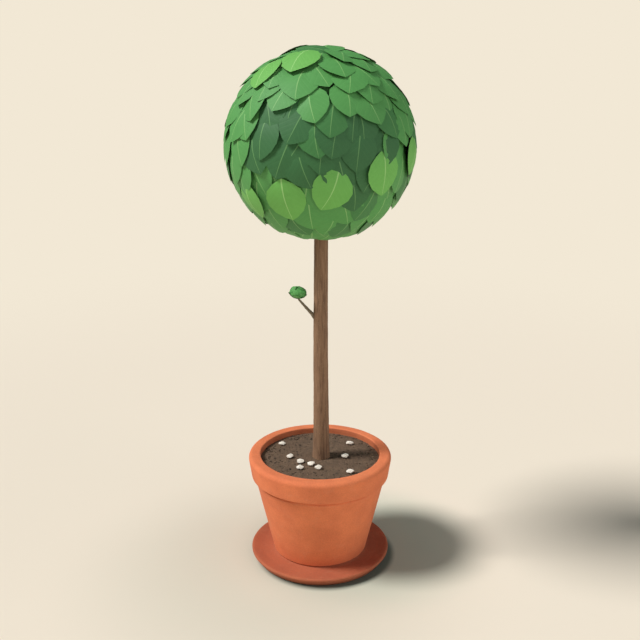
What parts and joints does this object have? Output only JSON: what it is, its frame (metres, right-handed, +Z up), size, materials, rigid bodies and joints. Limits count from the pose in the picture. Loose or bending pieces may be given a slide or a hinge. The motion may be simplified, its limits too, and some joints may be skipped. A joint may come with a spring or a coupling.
{
  "type": "standard lollipop topiary in a clay pot with a drip saucer",
  "caption": "Broadleaf evergreen clipped to a ball on one clear stem, with a small side shoot, growing in a rimmed clay pot that stands in its drip saucer.",
  "frame": {"origin": "centre of the saucer's flat underside, on the ground", "axes": "+Z up along the trunk; -Y is the front; the small side shoot grows towards -X"},
  "size_m": [0.3956, 0.3965, 1.1293],
  "materials": {
    "pot_clay": "matte",
    "saucer_clay": "matte",
    "compost": "matte",
    "bark": "matte",
    "shoot_bark": "matte",
    "leaf": "satin",
    "chip_stone": "matte"
  },
  "bodies": {
    "root": {"saucer": "saucer_clay", "pot": "pot_clay", "compost": "compost", "trunk": "bark", "side_shoot": "shoot_bark", "side_shoot_leaves": "leaf", "crown_foliage": "leaf", "stone_chip_1": "chip_stone", "stone_chip_2": "chip_stone", "stone_chip_3": "chip_stone", "stone_chip_4": "chip_stone", "stone_chip_5": "chip_stone", "stone_chip_6": "chip_stone", "stone_chip_7": "chip_stone", "stone_chip_8": "chip_stone", "stone_chip_9": "chip_stone"}
  },
  "joints": []
}
